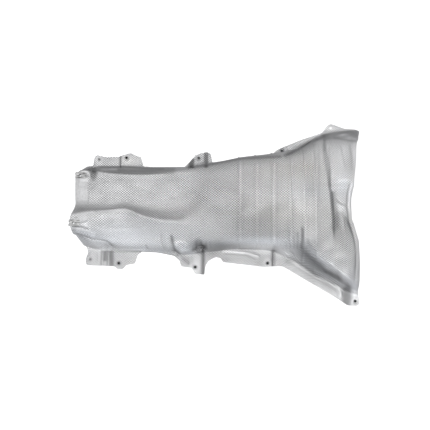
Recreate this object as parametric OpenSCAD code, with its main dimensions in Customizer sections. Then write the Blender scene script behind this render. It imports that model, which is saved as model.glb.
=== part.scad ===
// Exhaust heat shield from under a family car: one sheet of diamond-embossed aluminium, pressed
// to a tunnel that flares at one end, with flanges and bolt ears along both sides, and two
// spring nuts pushed on to its narrow end.
// X runs along the exhaust from the narrow end to the flared end, Z points away from the pipe,
// and the flanges lie on Z = 0.

/* [Shield] */
// Length of the sheet, from which every place along it is taken
shield_l = 740; // [560:1:960]
// Width of the sheet, from which every place across it is taken
shield_w = 500; // [400:1:640]
// Height of the low shelf at the narrow end
shelf_h = 52; // [40:1:64]
// Height of the raised side of the narrow end
bulge_h = 72; // [66:1:90]
// Height of the crown over the flared half
crown_h = 110; // [92:1:150]
// Thickness of the sheet with its embossing
sheet_t = 1.2; // [0.8:0.1:2]

/* [Ribs and collar] */
// Width of each stiffening rib across the crown
rib_w = 7; // [5:0.5:9]
// Height of each stiffening rib across the crown
rib_h = 1.2; // [0.5:0.1:2.5]
// Width of a rib across the flanges
foot_rib_w = 10; // [8:0.5:12]
// Height of a rib across the flanges
foot_rib_h = 3.5; // [1:0.5:6]
// How far the collar steps down at the flared end
collar_drop = 8; // [3:0.5:12]

/* [Bolt holes] */
// Diameter of the bolt holes in the ears
bolt_hole_d = 7; // [5:0.5:9]
// Height of the raised ear at the narrow end
ear_step = 3; // [1:0.5:5]

/* [Spring nuts] */
// Length of a spring nut along the sheet
clip_l = 26; // [22:1:32]
// Width of a spring nut
clip_w = 16; // [14:1:20]
// Thickness of the strip that it is bent from
clip_t = 1; // [0.6:0.1:1.4]
// Diameter of its threaded hole
clip_hole_d = 5; // [3:0.5:6]

/* [Hidden] */

// Places along the sheet are percents of shield_l and places across it percents of shield_w.
// Each line gives [place along, value]; between its points the value runs straight and is
// then softened over soften percents.
soften = 1.6;
function along(p) = p * shield_l / 100;
function across(p) = p * shield_w / 100;
function soft(line, p) =
    (lookup(p - soften, line) + 2 * lookup(p, line) + lookup(p + soften, line)) / 4;

// Bend lines in plan, from the upper side of the tunnel to the lower one
foot_up = [[-50, 25.4], [-46, 26.2], [-42, 27.2], [-30, 27.8], [-24, 26.8], [-10, 27], [-4, 27.4],
    [2, 28], [9, 29.2], [19, 31], [24.6, 33.4], [29.8, 37.2], [32.8, 40], [35, 42.2], [38.4, 44.6],
    [42, 46.5], [45, 47.8], [50, 48.4]];
shoulder_up = [[-50, 21.4], [-42, 21], [-34, 19], [-24, 18.6], [-14, 19.6], [-8, 21.6],
    [-4, 23.4], [2, 25.6], [9, 27.4], [19, 28.4], [26, 29.4], [31, 30.4], [36, 34.2], [40, 36.6],
    [44, 35.8], [48, 35.2]];
shelf_end = [[-50, 2.4], [-44, 1.2], [-36, 0.8], [-30, 2], [-24, 0.2], [-19, -0.8], [-12, -1.6],
    [-8, 1], [-2, 8], [9, 12], [32, 12], [41, 14]];
bulge_top = [[-50, -3.6], [-44, -2.4], [-36, -1.8], [-30, -1], [-24, -4.8], [-19, -6.2],
    [-12, -6.8], [-8, -6.4], [-2, -4], [9, -2], [32, -1], [41, -2], [50, -4]];
shoulder_low = [[-50, -11.6], [-45, -11.8], [-40, -13.6], [-34, -16.4], [-19, -17.2], [-12, -18],
    [-4, -17.8], [8, -17.2], [18, -17.4], [25, -17.8], [29, -17.2], [32, -21], [36, -27.6],
    [41, -33], [46, -36.6], [50, -37.6]];
crease = [[-50, -13.6], [-47, -13.6], [-42, -15.8], [-37, -16.6], [-34.6, -18.6], [-19, -19.4],
    [-12, -20.4], [-4, -19.6], [8, -18], [18, -18.6], [25, -20.8], [29, -23.2], [32, -27.4],
    [36, -31.6], [41, -35.8], [46, -39.4], [50, -40.4]];
foot_low = [[-50, -16.8], [-46, -17.4], [-44, -18.2], [-36, -19], [-29, -19.8], [-22, -19.8],
    [-15, -21.2], [-7, -21.2], [-2, -20], [3, -19], [9, -18.4], [15, -18.4], [19, -19],
    [24, -22], [29, -25.4], [34, -30.4], [39, -35.2], [43, -38.8], [47, -41.2], [50, -42]];

// Rise of the shelf and of the raised side to the height of the crown, from 0 to 1
shelf_rise = [[-30, 0], [-24, 0.03], [-19, 0.09], [-12, 0.21], [-8, 0.31], [-2, 0.55], [9, 0.79],
    [20, 0.93], [32, 1], [50, 0.97]];
bulge_rise = [[-18, 0], [-12, 0.05], [-8, 0.16], [-2, 0.42], [9, 0.71], [20, 0.9], [32, 1],
    [41, 0.95], [50, 0.84]];
// Height of the upper shoulder, in percent of the shelf beside it
shoulder_up_z = [[-12, 100], [-8, 97], [-4, 92], [9, 93], [26, 90], [32, 85], [41, 77], [46, 72],
    [50, 70]];
// Height of the lower shoulder and of the crease, in percent of the raised side beside them
shoulder_low_z = [[-44, 100], [-40, 86], [-34, 60], [-19, 54], [-4, 56], [8, 56], [22, 60],
    [29, 72], [32, 73], [36, 66], [41, 61], [46, 54], [50, 50]];
crease_z = [[-50, 78], [-47, 76], [-42, 45], [-37, 40], [-34.6, 14], [-27, 16], [-4, 17], [9, 13],
    [18, 13], [25, 18], [41, 15], [50, 12]];

// How far each bend reaches along the sheet on either side of its line, in millimetres
foot_bend = 6;
crease_bend = 5;
shoulder_up_bend = [[-15, 6], [-8, 20], [-4, 35], [2, 60], [20, 60], [32, 50], [41, 40], [48, 20]];
shelf_bend = [[-24, 6], [-12, 9], [-6, 15], [-2, 30]];
bulge_bend = [[-24, 5], [-12, 9], [-2, 34]];
shoulder_low_bend = [[-46, 6], [-42, 14], [-34, 50], [0, 60], [20, 60], [29, 30], [32, 25],
    [50, 18]];
// Two bends beside each other take up no more than this share of the flat between them
bend_share = 0.9;

// Ends of the sheet and the line where the collar steps down. They are given by the bend beside
// them: 0 is the upper flange, 1 to 7 are the bend lines in the order above, 8 is the lower one.
narrow_edge = [[1, -45.2], [1.6, -47.2], [2, -48.6], [2.6, -48.1], [3, -47.6], [4, -48.4], [4.6, -48.8],
    [5, -48.1], [6, -47.3], [7, -44.2]];
flared_edge = [[0, 51], [1, 51], [1.5, 51], [2, 49.4], [2.6, 47.8], [3, 46.8], [3.4, 45.9],
    [3.9, 44.9], [4.2, 45], [4.4, 47.4], [4.6, 47.9], [5, 47.9], [7, 48.4], [8, 48.8]];
collar_line = [[1, 36], [2, 36.2], [3, 37.2], [3.6, 37.7], [4, 38], [4.4, 38.4]];
collar_depth = [[1, 0], [2, 0.25], [3, 0.5], [3.4, 0.9], [3.6, 1], [4.35, 1], [4.5, 0.15], [5, 0]];
narrow_end = -48.8;
narrow_reach = -40;
collar_reach = 34.4;
collar_at = 37.2;
collar_foot = 38.8;
flared_end = 48.8;

// Ribs, in percent of the length
crown_ribs = [8.2, 13.9, 19.5, 25.1, 29.7, 33.5];
foot_ribs_low = [-38.6, -36.5, -4.3, 19.5];
foot_ribs_up = [-3.2];

// The recess pressed into the lower wall over a bracket, as [along, bend], and its reaches
recess_at = [-5, 5.85];
recess_reach = [3.2, 0.9];
recess_depth = 5;
// The groove down the lower wall, as [bend, place along]
groove = [[5, -14.9], [6, -13.9], [7, -12.7]];
groove_w = 15;
groove_depth = 4;
// The upper bracket's rib is this much wider and higher than the lower ones
wide_rib = 1.4;
high_rib = 1.6;
// Where the raised ear steps up, over how many millimetres, and where it runs out
ear_step_at = -34.2;
ear_step_l = 6;
ear_end_at = -22;
ear_run_out = 20;

function swell(d, w) = abs(d) < w / 2 ? (1 + cos(360 * d / w)) / 2 : 0;
function ramp(v) = let (c = max(0, min(1, v))) c * c * (3 - 2 * c);
// Keeps a rib's edge columns inside the rib
rib_slack = 0.07;
function rib_sum(places, s, w, h) =
    len([for (p = places) if (abs(s - along(p)) < w / 2) p]) == 0 ? 0
    : h * max([for (p = places) swell(s - along(p), w)]);

// The columns of the sheet, as distances along it
cols = concat(
    [for (p = [-48.8, -47.6, -46.4, -45, -43.4, -41.6, -40]) along(p)],
    [for (p = [-38.6, -36.5], k = [-3, -1, 1, 3]) along(p) + k * foot_rib_w / 6],
    [for (k = [-1, 1]) along(ear_step_at) + k * ear_step_l / 2],
    [for (p = [-32, -29.6, -27.2, -24.8, -22.4, -20, -17.8]) along(p)],
    [for (p = [-16 : 0.7 : -11]) along(p)],
    [for (p = [-9.8, -8.2, -6.8]) along(p)],
    [for (p = [-5.4 : 0.7 : -1]) along(p)],
    [for (p = [0.2, 2.2, 4.4, 6.4]) along(p)],
    [for (r = [0 : 5]) for (x = concat(
        [for (k = [-1, 0, 1]) along(crown_ribs[r]) + k * rib_w / 2],
        r < 5 ? [along((crown_ribs[r] + crown_ribs[r + 1]) / 2)] : [])) x],
    [for (p = [35.4, 37.2, 38, 38.8, 40.3, 42, 43.6, 45, 46.4, 47.2, 48, 48.8]) along(p)]);

// The bend lines of one column as [across, up], from the edge of one flange to that of the other
flange_up_y = 53;
flange_low_y = -49;
function corners(s) = let (
    p = 100 * s / shield_l,
    shelf = shelf_h + (crown_h - shelf_h) * soft(shelf_rise, p),
    bulge = bulge_h + (crown_h - bulge_h) * soft(bulge_rise, p),
    up = max(rib_sum(foot_ribs_up, s, wide_rib * foot_rib_w, high_rib * foot_rib_h),
        ear_step * ramp((s - along(ear_step_at)) / ear_step_l + 0.5)
            * ramp((along(ear_end_at) - s) / ear_run_out)),
    low = rib_sum(foot_ribs_low, s, foot_rib_w, foot_rib_h)) [
    [across(flange_up_y), up],
    [across(soft(foot_up, p)), up],
    [across(soft(shoulder_up, p)), shelf * soft(shoulder_up_z, p) / 100],
    [across(soft(shelf_end, p)), shelf],
    [across(soft(bulge_top, p)), bulge],
    [across(soft(shoulder_low, p)), bulge * soft(shoulder_low_z, p) / 100],
    [across(soft(crease, p)), bulge * soft(crease_z, p) / 100],
    [across(soft(foot_low, p)), low],
    [across(flange_low_y), low]];
function bends(p) = [0, foot_bend, soft(shoulder_up_bend, p), soft(shelf_bend, p),
    soft(bulge_bend, p), soft(shoulder_low_bend, p), crease_bend, foot_bend, 0];

// Points on each bend, and on the flat that follows it
bend_points = [1, 4, 5, 3, 3, 7, 3, 4, 1];
flat_points = [1, 0, 1, 0, 2, 0, 0, 1, 0];
// Share of a flange, from its edge, that stays one flat strip
flange_flat = 0.9;
function toward(a, b, d) = a + (b - a) * d / norm(b - a);
function fitting(c, i, r) = min(1, bend_share * norm(c[i + 1] - c[i]) / (r[i] + r[i + 1]));
function bend(c, i, r) = let (
    a = toward(c[i], c[i - 1], r[i] * fitting(c, i - 1, r)),
    b = toward(c[i], c[i + 1], r[i] * fitting(c, i, r)), n = bend_points[i] - 1)
    [for (k = [0 : n]) let (u = k / n)
        [a * (1 - u) ^ 2 + 2 * c[i] * u * (1 - u) + b * u ^ 2, i + (u - 0.5) * 0.5]];
function stretch(c, i, r) = i == 0 || i == 8 ? [[c[i], i]] : bend(c, i, r);
function flat_share(i, even) = i == 0 ? flange_flat : i == 7 ? 1 - flange_flat : even;
function profile(s) = let (c = corners(s), r = bends(100 * s / shield_l),
    parts = [for (i = [0 : 8]) stretch(c, i, r)])
    [for (i = [0 : 8]) for (q = concat(parts[i], i == 8 ? [] : let (
        a = parts[i][len(parts[i]) - 1], b = parts[i + 1][0], n = flat_points[i])
        [for (k = [1 : 1 : n]) a + (b - a) * flat_share(i, k / (n + 1))])) q];

// The outer face of the sheet, row by row, with the ribs and the collar pressed into it
function slide(s, b) = along(lookup(100 * s / shield_l, [
    [narrow_end, lookup(b, narrow_edge)], [narrow_reach, narrow_reach],
    [collar_reach, collar_reach], [collar_at, lookup(b, collar_line)],
    [collar_foot, lookup(b, collar_line) + collar_foot - collar_at],
    [flared_end, lookup(b, flared_edge)]]));
function body_share(b) = ramp(b - 1) * ramp(7 - b);
function dent(s, b) =
    recess_depth * swell(s - along(recess_at[0]), 2 * along(recess_reach[0]))
        * swell(b - recess_at[1], 2 * recess_reach[1])
    + groove_depth * swell(s - along(lookup(b, groove)), groove_w)
        * ramp(2 * (b - 5)) * ramp(2 * (7 - b));
outer = [for (s = cols) let (q = profile(s), n = len(q) - 1,
    lift = rib_sum(crown_ribs, s, rib_w + rib_slack, rib_h),
    drop = collar_drop * ramp((s - along(collar_at)) / along(collar_foot - collar_at)))
    [for (j = [0 : n]) let (
        b = q[j][1], t = q[min(n, j + 1)][0] - q[max(0, j - 1)][0],
        out = [t[1], -t[0]] / norm(t),
        y = q[j][0] + out * (lift * body_share(b) - drop * lookup(b, collar_depth) - dent(s, b)))
        [slide(s, b), y[0], y[1] + sheet_t]]];
last_col = len(outer) - 1;
last_row = len(outer[0]) - 1;
inner = [for (i = [0 : last_col]) [for (j = [0 : last_row]) let (
    n = cross(outer[min(last_col, i + 1)][j] - outer[max(0, i - 1)][j],
        outer[i][min(last_row, j + 1)] - outer[i][max(0, j - 1)]))
    outer[i][j] + n * (sheet_t / norm(n))]];

// The two triangles of a four-sided patch, clockwise from outside
function patch(a, b, c, d) = [[a, b, c], [a, c, d]];
module formed_sheet() {
    rows = last_row + 1;
    m = last_col;
    n = last_row;
    function o(i, j) = i * rows + j;
    function u(i, j) = (m + 1) * rows + i * rows + j;
    polyhedron(
        points = concat([for (c = outer) for (p = c) p], [for (c = inner) for (p = c) p]),
        faces = concat(
            [for (i = [0 : m - 1], j = [0 : n - 1])
                for (f = patch(o(i, j), o(i + 1, j), o(i + 1, j + 1), o(i, j + 1))) f],
            [for (i = [0 : m - 1], j = [0 : n - 1])
                for (f = patch(u(i, j), u(i, j + 1), u(i + 1, j + 1), u(i + 1, j))) f],
            [for (j = [0 : n - 1]) for (f = concat(
                patch(o(0, j), o(0, j + 1), u(0, j + 1), u(0, j)),
                patch(o(m, j + 1), o(m, j), u(m, j), u(m, j + 1)))) f],
            [for (i = [0 : m - 1]) for (f = concat(
                patch(o(i + 1, 0), o(i, 0), u(i, 0), u(i + 1, 0)),
                patch(o(i, n), o(i + 1, n), u(i + 1, n), u(i, n)))) f]));
}

// The trimmed outline in plan: each corner is [along, across, radius in millimetres]
trim = [
    [-55, 24.6, 0], [-46, 26.2, 4], [-43.9, 26.8, 3], [-43.8, 31, 4], [-43.1, 33.8, 8],
    [-39, 32.4, 8], [-34.5, 32.8, 3], [-30.4, 34.6, 10], [-29, 33.4, 4], [-26.7, 32.2, 7],
    [-25.6, 27.2, 4], [-11, 26.9, 5], [-9.2, 29.6, 5], [-7.1, 33.6, 9], [-4.6, 35, 8],
    [-1.6, 35, 7], [-0.9, 29.2, 4], [9, 31.2, 20], [19.6, 32.6, 10], [22.4, 36.6, 10],
    [25.2, 38.6, 12], [31.4, 42.6, 14], [39.2, 46.8, 8], [40.8, 50.2, 8], [42.4, 52.2, 10],
    [44.9, 50.8, 10], [47.8, 49.1, 8], [51.2, 48.8, 5], [52, 46, 4], [55, 45, 0],
    [55, -40, 0], [48.9, -41, 4], [49, -46.4, 8], [47.4, -47.8, 8], [44.4, -47.2, 6],
    [41.6, -44.2, 16], [23.2, -27.4, 10], [20.3, -27.4, 6], [17.3, -27.8, 8], [2.8, -25.2, 5],
    [1.9, -23.2, 4], [0.3, -22.6, 8], [-2.2, -24.6, 8], [-3.2, -27, 6], [-3.6, -31.8, 4],
    [-6.8, -31.2, 5], [-8.2, -28.2, 4], [-11.6, -27.4, 5], [-12.3, -24.2, 4], [-14, -22, 8],
    [-20, -20.2, 20], [-25.2, -19.9, 6], [-26.6, -21.6, 5], [-27.4, -26, 6], [-30.3, -26.6, 4],
    [-32, -29.9, 9], [-34.3, -27.2, 6], [-44.1, -26.8, 8], [-44.7, -24.2, 6], [-43.8, -20.8, 5],
    [-44, -18.4, 3], [-55, -16, 0]];
arc_points = 5;
corner_share = 0.45;
function trim_at(i) = let (v = trim[(i + len(trim)) % len(trim)]) [along(v[0]), across(v[1])];
function trim_corner(i) = let (
    a = trim_at(i - 1), c = trim_at(i), b = trim_at(i + 1),
    turn = acos(max(-1, min(1, (a - c) * (b - c) / norm(a - c) / norm(b - c)))),
    d = min(trim[i][2] / tan(turn / 2), corner_share * norm(a - c), corner_share * norm(b - c)),
    p = toward(c, a, d), q = toward(c, b, d))
    trim[i][2] == 0 ? [c] : [for (k = [0 : arc_points - 1]) let (u = k / (arc_points - 1))
        p * (1 - u) ^ 2 + 2 * c * u * (1 - u) + q * u ^ 2];
outline = [for (i = [0 : len(trim) - 1]) for (p = trim_corner(i)) p];

// Bolt holes as [along, across, height of the sheet's underside there]
bolt_holes = [[-41.8, 31.2, 0], [-31.9, 31.8, 3], [-5.9, 32, 0], [24.3, 36, 0], [42.5, 49.5, 0],
    [-42.8, -23.8, 0], [-33, -25.8, 0], [-6.8, -27.8, 0], [18, -25.8, 0], [47.2, -45.2, 0]];

// Spring nuts as [along, across, height of the sheet's underside there]. Each is centred on the
// place of its bolt, and its bend wraps round the edge of the sheet.
nut_upper = [-46.7, 18, shelf_h];
nut_lower = [-47.3, -8.8, bulge_h];
nut_hole_clear = 2;
nut_back_share = 0.42;
collar_h = 3;
nut_back = nut_back_share * clip_l;
// How far each cut runs past what it cuts
past = 5;

// The part stands on its flanges, centred on its box
nut_reach = max([for (n = [nut_upper, nut_lower]) nut_back + sheet_t / 2 + clip_t - along(n[0])]);
sheet_ends = [for (g = [outer, inner]) for (p = g[last_col]) p[0]];
mid = [(max(sheet_ends) - nut_reach) / 2,
    (max([for (p = outline) p[1]]) + min([for (p = outline) p[1]])) / 2];
module centred() {
    translate([-mid[0], -mid[1], 0])
    children();
}

module shield() {
    color([0.72, 0.73, 0.75])
    centred()
    difference() {
        intersection() {
            formed_sheet();
            translate([0, 0, -past])
            linear_extrude(crown_h + 4 * past)
            polygon(outline);
        }
        for (h = bolt_holes)
            translate([along(h[0]), across(h[1]), h[2] - past])
            cylinder(d = bolt_hole_d, h = 2 * past, $fn = 48);
        for (n = [nut_upper, nut_lower])
            translate([along(n[0]), across(n[1]), n[2] - past])
            cylinder(d = clip_hole_d + nut_hole_clear, h = 2 * past, $fn = 48);
    }
}

// A strip bent round the edge of the sheet, with a threaded collar on its lower leg. Its origin
// is on the bolt's axis at the sheet's underside, and its bend is toward -X.
module spring_nut() {
    bend_r = sheet_t / 2 + clip_t;
    difference() {
        union() {
            rotate([90, 0, 0])
            linear_extrude(clip_w, center = true)
            difference() {
                union() {
                    translate([-nut_back, -clip_t])
                    square([clip_l, 2 * bend_r]);
                    translate([-nut_back, sheet_t / 2])
                    circle(r = bend_r, $fn = 48);
                }
                translate([-nut_back, 0])
                square([clip_l + 1, sheet_t]);
                translate([-nut_back, sheet_t / 2])
                circle(r = sheet_t / 2, $fn = 48);
            }
            translate([0, 0, -clip_t - collar_h])
            cylinder(d = clip_hole_d + 4, h = collar_h + clip_t / 2, $fn = 48);
        }
        translate([0, 0, -clip_t - collar_h - 1])
        cylinder(d = clip_hole_d, h = collar_h + clip_t + 1.5, $fn = 48);
        translate([0, 0, sheet_t / 2])
        cylinder(d = clip_hole_d + nut_hole_clear, h = sheet_t / 2 + clip_t + 1, $fn = 48);
        rounded_end();
        translate([-nut_back, 0, sheet_t / 2])
        cube([2 * bend_r + 2, clip_w / 3, 2 * bend_r + 2], center = true);
    }
}
// What is cut from the strip to round its free corners
module rounded_end() {
    r = clip_w / 4;
    x = clip_l - nut_back - r;
    for (side = [-1, 1])
        translate([x, side * (clip_w / 2 - r), -clip_t - 1])
        difference() {
            translate([0, side > 0 ? 0 : -r - 1, 0])
            cube([r + 1, r + 1, 2 * clip_t + sheet_t + 2]);
            translate([0, 0, -1])
            cylinder(r = r, h = 2 * clip_t + sheet_t + 4, $fn = 48);
        }
}
module clip_nut_upper() {
    color([0.55, 0.55, 0.54])
    centred()
    translate([along(nut_upper[0]), across(nut_upper[1]), nut_upper[2]])
    spring_nut();
}
module clip_nut_lower() {
    color([0.55, 0.55, 0.54])
    centred()
    translate([along(nut_lower[0]), across(nut_lower[1]), nut_lower[2]])
    spring_nut();
}

shield();
clip_nut_upper();
clip_nut_lower();
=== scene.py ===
"""Exhaust heat shield. Its CAD node is replaced by the same sheet on a finer mesh, from the CAD
source's section lines, with the folds, dents, rings and emboss of the photograph, and its highlights,
shade and bluish and warm reflections painted on. Lengths are in millimetres until a mesh is made, and
places on the sheet in percent of LENGTH and WIDTH."""
import math

import bpy
import numpy as np
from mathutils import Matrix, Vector, geometry


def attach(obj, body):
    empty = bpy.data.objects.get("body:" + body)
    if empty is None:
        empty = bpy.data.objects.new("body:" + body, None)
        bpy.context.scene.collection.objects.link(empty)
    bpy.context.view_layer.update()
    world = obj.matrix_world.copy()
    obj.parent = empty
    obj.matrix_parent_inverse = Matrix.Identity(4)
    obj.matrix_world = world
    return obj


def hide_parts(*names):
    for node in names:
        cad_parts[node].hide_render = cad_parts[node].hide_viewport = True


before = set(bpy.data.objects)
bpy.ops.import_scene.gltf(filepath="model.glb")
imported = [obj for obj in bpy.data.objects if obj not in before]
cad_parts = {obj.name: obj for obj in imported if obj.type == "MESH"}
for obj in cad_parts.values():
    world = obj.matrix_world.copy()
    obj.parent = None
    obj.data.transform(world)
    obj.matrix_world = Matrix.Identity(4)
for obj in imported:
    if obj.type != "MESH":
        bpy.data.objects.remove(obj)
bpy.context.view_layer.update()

# The mesh
PITCH = 2.65  # spacing of its points
HOLE_SIDES = 28
CORNER_STEPS, CORNER_SHARE = 7, .45  # stretches in a rounded corner, most of a side that it takes
NEAR_EDGE = 1.05  # cells nearer to an outline than this share of their size are cut
LOOK_ASIDE = 40.0  # how far from an outline distances are measured

# Driving dimensions of the sheet, as in the CAD source
LENGTH, WIDTH, THICK = 740.0, 500.0, 1.2
SHELF, BULGE, CROWN = 52.0, 72.0, 110.0  # heights of the shelf, the raised side and the crown
RIB_W, RIB_H = 7.0, 1.6  # ribs across the crown
RIB_SPREAD = 1.01  # keeps the outer points of a rib just above the crown
FOOT_W, FOOT_H = 10.0, 3.5  # ribs across the lower flange
UP_RIB_W, UP_RIB_H = 1.4 * FOOT_W, 1.6 * FOOT_H  # the rib across the upper flange
DROP = 8.0  # step down from the crown to the collar
EAR, EAR_FROM, EAR_TO, EAR_START, EAR_END = 3.0, -34.2, -22, 6, 20  # raised ear: lift, ends, slopes
HOLE_R = 3.5
FLANGE_UP, FLANGE_LOW = 9, 12.5  # percent by which the untrimmed flanges pass the foot lines
FOOT_BEND, CREASE_BEND = 4.5, 5  # reach of these bends along their sides
BEND_SHARE = .9  # the most of a side that its two bends take up
BEND_STEPS = 4  # fewest stretches in a bend
ROUNDING = 1.6  # percent along by which the section lines are rounded
RECESS = (5, -5, 6.4, 5.85, 1.8)  # depth, percent along, percent long, place and reach by bend
GROOVE_DEPTH, GROOVE_W = 4, 15
MID = np.array([7.45061, 10.445, 0.0])  # the frame's origin on the untrimmed sheet

# Section lines as (percent along, percent across), from the upper flange to the lower one
FOOT_UP = [
    (-50, 22.2), (-48, 24.8), (-45.8, 26.8), (-42, 27), (-30, 26.9), (-24, 26.4), (-10, 26.7), (-4, 27.4),
    (2, 28), (9, 29.2), (19, 31), (24.6, 32.8), (29.8, 36.2), (32.8, 39.1), (35, 41.7), (38.4, 44.6),
    (42, 46.5), (45, 47.8), (50, 48.4),
]
SHOULDER_UP = [
    (-50, 18), (-48, 20), (-45.4, 21.2), (-42, 21), (-34, 19), (-24, 18.6), (-14, 19.6), (-8, 21.6),
    (-4, 23.4), (2, 25.6), (9, 27.4), (19, 28.4), (26, 29.4), (31, 30.4), (36, 34.2), (40, 36.6), (44, 35.8),
    (48, 35.2),
]
SHELF_END = [
    (-50, 2.4), (-44, 1.2), (-36, .8), (-30, 2), (-24, .2), (-19, -.8), (-12, -1.6), (-8, 1), (-2, 8),
    (9, 12), (32, 12), (41, 14),
]
BULGE_TOP = [
    (-50, -4.6), (-44, -2.6), (-36, -1.8), (-30, -1), (-24, -5.4), (-19, -7.3), (-12, -8.4), (-8, -8.2),
    (-2, -6.4), (9, -3.4), (32, -1), (41, -2), (50, -4),
]
SHOULDER_LOW = [
    (-50, -11.6), (-45, -11.8), (-40, -13.6), (-34, -16.4), (-19, -17.2), (-12, -18), (-4, -17.8),
    (8, -17.2), (18, -17.4), (25, -17.8), (29, -17.2), (32, -22), (36, -29.4), (41, -34.5), (46, -37.6),
    (50, -38),
]
CREASE = [
    (-50, -13.6), (-47, -13.6), (-42, -15.8), (-37, -16.6), (-34.6, -18.6), (-19, -19.4), (-12, -20.4),
    (-4, -19.6), (8, -18), (18, -18.6), (25, -20.8), (29, -23.2), (32, -27.4), (36, -31.6), (41, -35.8),
    (46, -39.4), (50, -40.4),
]
FOOT_LOW = [
    (-50, -16.8), (-46, -17.4), (-44, -18.2), (-36, -19), (-29, -19.8), (-22, -19.8), (-15, -21.2),
    (-7, -21.2), (-2, -20), (3, -19), (9, -18.4), (15, -18.4), (19, -19), (24, -22.4), (29, -26.7),
    (34, -31.9), (39, -36.7), (43, -40), (47, -41.7), (50, -42.2),
]
# Rise of the shelf and of the raised side as a share of the way to the crown
SHELF_RISE = [
    (-30, 0), (-24, .03), (-19, .09), (-12, .21), (-8, .31), (-2, .55), (9, .79), (20, .93), (32, 1),
    (50, .97),
]
BULGE_RISE = [(-18, 0), (-12, .05), (-8, .16), (-2, .42), (9, .71), (20, .9), (32, 1), (41, .95), (50, .84)]
# Heights of the other lines in percent of the shelf's or the raised side's
SHOULDER_UP_Z = [(-12, 100), (-8, 97), (-4, 92), (9, 93), (26, 90), (32, 85), (41, 77), (46, 72), (50, 70)]
SHOULDER_LOW_Z = [
    (-44, 100), (-40, 86), (-34, 60), (-19, 54), (-4, 56), (8, 56), (22, 60), (29, 72), (32, 73), (36, 66),
    (41, 61), (44, 54), (47, 38), (50, 30),
]
CREASE_Z = [
    (-50, 78), (-47, 76), (-42, 45), (-37, 40), (-34.6, 14), (-27, 16), (-4, 17), (9, 13), (18, 13),
    (25, 18), (41, 15), (47, 9), (50, 7),
]
# Reach of the bends
SHOULDER_UP_BEND = [(-15, 6), (-8, 20), (-4, 35), (2, 60), (18, 54), (26, 38), (34, 34), (41, 32), (48, 20)]
SHELF_BEND = [(-46, 18), (-24, 11), (-12, 10), (-6, 15), (-2, 30)]
BULGE_BEND = [(-24, 5), (-12, 9), (-2, 34)]
SHOULDER_LOW_BEND = [(-46, 6), (-42, 14), (-34, 50), (0, 60), (20, 60), (28, 30), (32, 12), (36, 7), (50, 8)]
# Ends of the sheet, line and depth of the collar's step, and the groove, each by bend
NARROW_EDGE = [
    (1, -48.4), (1.6, -48.5), (2, -48.6), (2.6, -48.1), (3, -47.6), (4, -48.4), (4.6, -48.8), (5, -48.1),
    (6, -47.7), (7, -44.4),
]
FLARED_EDGE = [
    (0, 52.6), (1, 52.9), (1.3, 52.6), (1.6, 51), (2, 49.4), (2.6, 48.1), (3, 46.9), (3.4, 46.1),
    (3.9, 45.2), (4.2, 45.4), (4.4, 47.7), (4.6, 48.1), (5, 48), (7, 48.4), (8, 48.8),
]
COLLAR_LINE = [(1, 36), (2, 36.2), (3, 37.2), (3.6, 37.7), (4, 38), (4.4, 38.4)]
COLLAR_DEPTH = [(1, 0), (2, .25), (3, .5), (3.4, .9), (3.6, 1), (4.35, 1), (4.5, .15), (5, 0)]
GROOVE = [(5, -14.9), (6, -13.9), (7, -12.7)]
# Percent along of the ends, the collar and the ribs. REACH is where an end begins to draw the sheet.
NARROW_END, NARROW_REACH, COLLAR_REACH = -48.8, -40, 34.4
COLLAR_AT, COLLAR_FOOT, FLARED_END = 37.2, 38.8, 48.8
CROWN_RIBS = [8.2, 13.9, 19.5, 25.1, 29.7, 33.5]
FOOT_RIBS_LOW, FOOT_RIBS_UP = [-38.6, -36.5, -4.3, 19.5], [-3.2]
# The trimmed outline as (percent along, percent across, corner radius)
TRIM = [
    (-55, 19.8, 0), (-49.4, 22.4, 3), (-47.8, 25.2, 4), (-46, 27.1, 4), (-43.8, 27.7, 2), (-43.7, 31, 3),
    (-43.1, 33.8, 8), (-39, 32.4, 8), (-34.5, 32.8, 3), (-30.4, 34.6, 10), (-29, 33.4, 4), (-26.7, 32.2, 7),
    (-25.6, 26.8, 4), (-11, 26.7, 5), (-9.2, 29.6, 5), (-7.1, 33.6, 9), (-4.6, 35, 8), (-1.6, 35, 7),
    (-.9, 29.2, 4), (9, 31.2, 20), (19.6, 32.6, 10), (22.4, 36.6, 10), (25.2, 38.6, 12), (31.4, 42.6, 14),
    (39.2, 46.8, 8), (40.8, 50.2, 8), (42.4, 52.2, 10), (44.9, 50.8, 10), (47.8, 49.1, 8), (51.7, 48.7, 8),
    (53.6, 46, 3), (55, 45, 0), (55, -40, 0), (48.9, -41, 4), (49, -46.4, 8), (47.4, -47.8, 8),
    (44.4, -47.2, 6), (41.6, -44.2, 16), (23.2, -27.4, 10), (20.3, -27.4, 6), (17.3, -27.8, 8),
    (2.8, -25.2, 5), (1.9, -23.2, 4), (.3, -22.6, 8), (-2.2, -24.6, 8), (-3.2, -27, 6), (-3.6, -31.8, 4),
    (-6.8, -31.2, 5), (-8.2, -28.2, 4), (-11.6, -27.4, 5), (-12.3, -24.2, 4), (-14, -22, 8),
    (-20, -20.2, 20), (-25.2, -19.9, 6), (-26.6, -21.6, 5), (-27.4, -26, 6), (-30.3, -26.6, 4),
    (-31.5, -28.8, 5), (-33.3, -28.9, 5), (-34.6, -27.3, 6), (-44.1, -26.8, 8), (-44.7, -24.2, 6),
    (-43.8, -20.8, 5), (-44, -18.4, 3), (-55, -16, 0),
]
HOLES = [
    (-41.8, 31.2), (-31.9, 31.8), (-5.9, 32), (24.3, 36), (42.5, 49.5), (-42.8, -23.8), (-33, -25.8),
    (-6.8, -27.8), (18, -25.8), (47.2, -45.2),
]
NUTS = [(-46.7, 18), (-47.3, -8.8)]
SHOULDER = 5  # number of the lower shoulder among the bends


def along(p):
    return p * LENGTH / 100


def across(p):
    return p * WIDTH / 100


def lookup(line, p):
    at = np.array(line, float)
    return np.interp(p, at[:, 0], at[:, 1])


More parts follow.
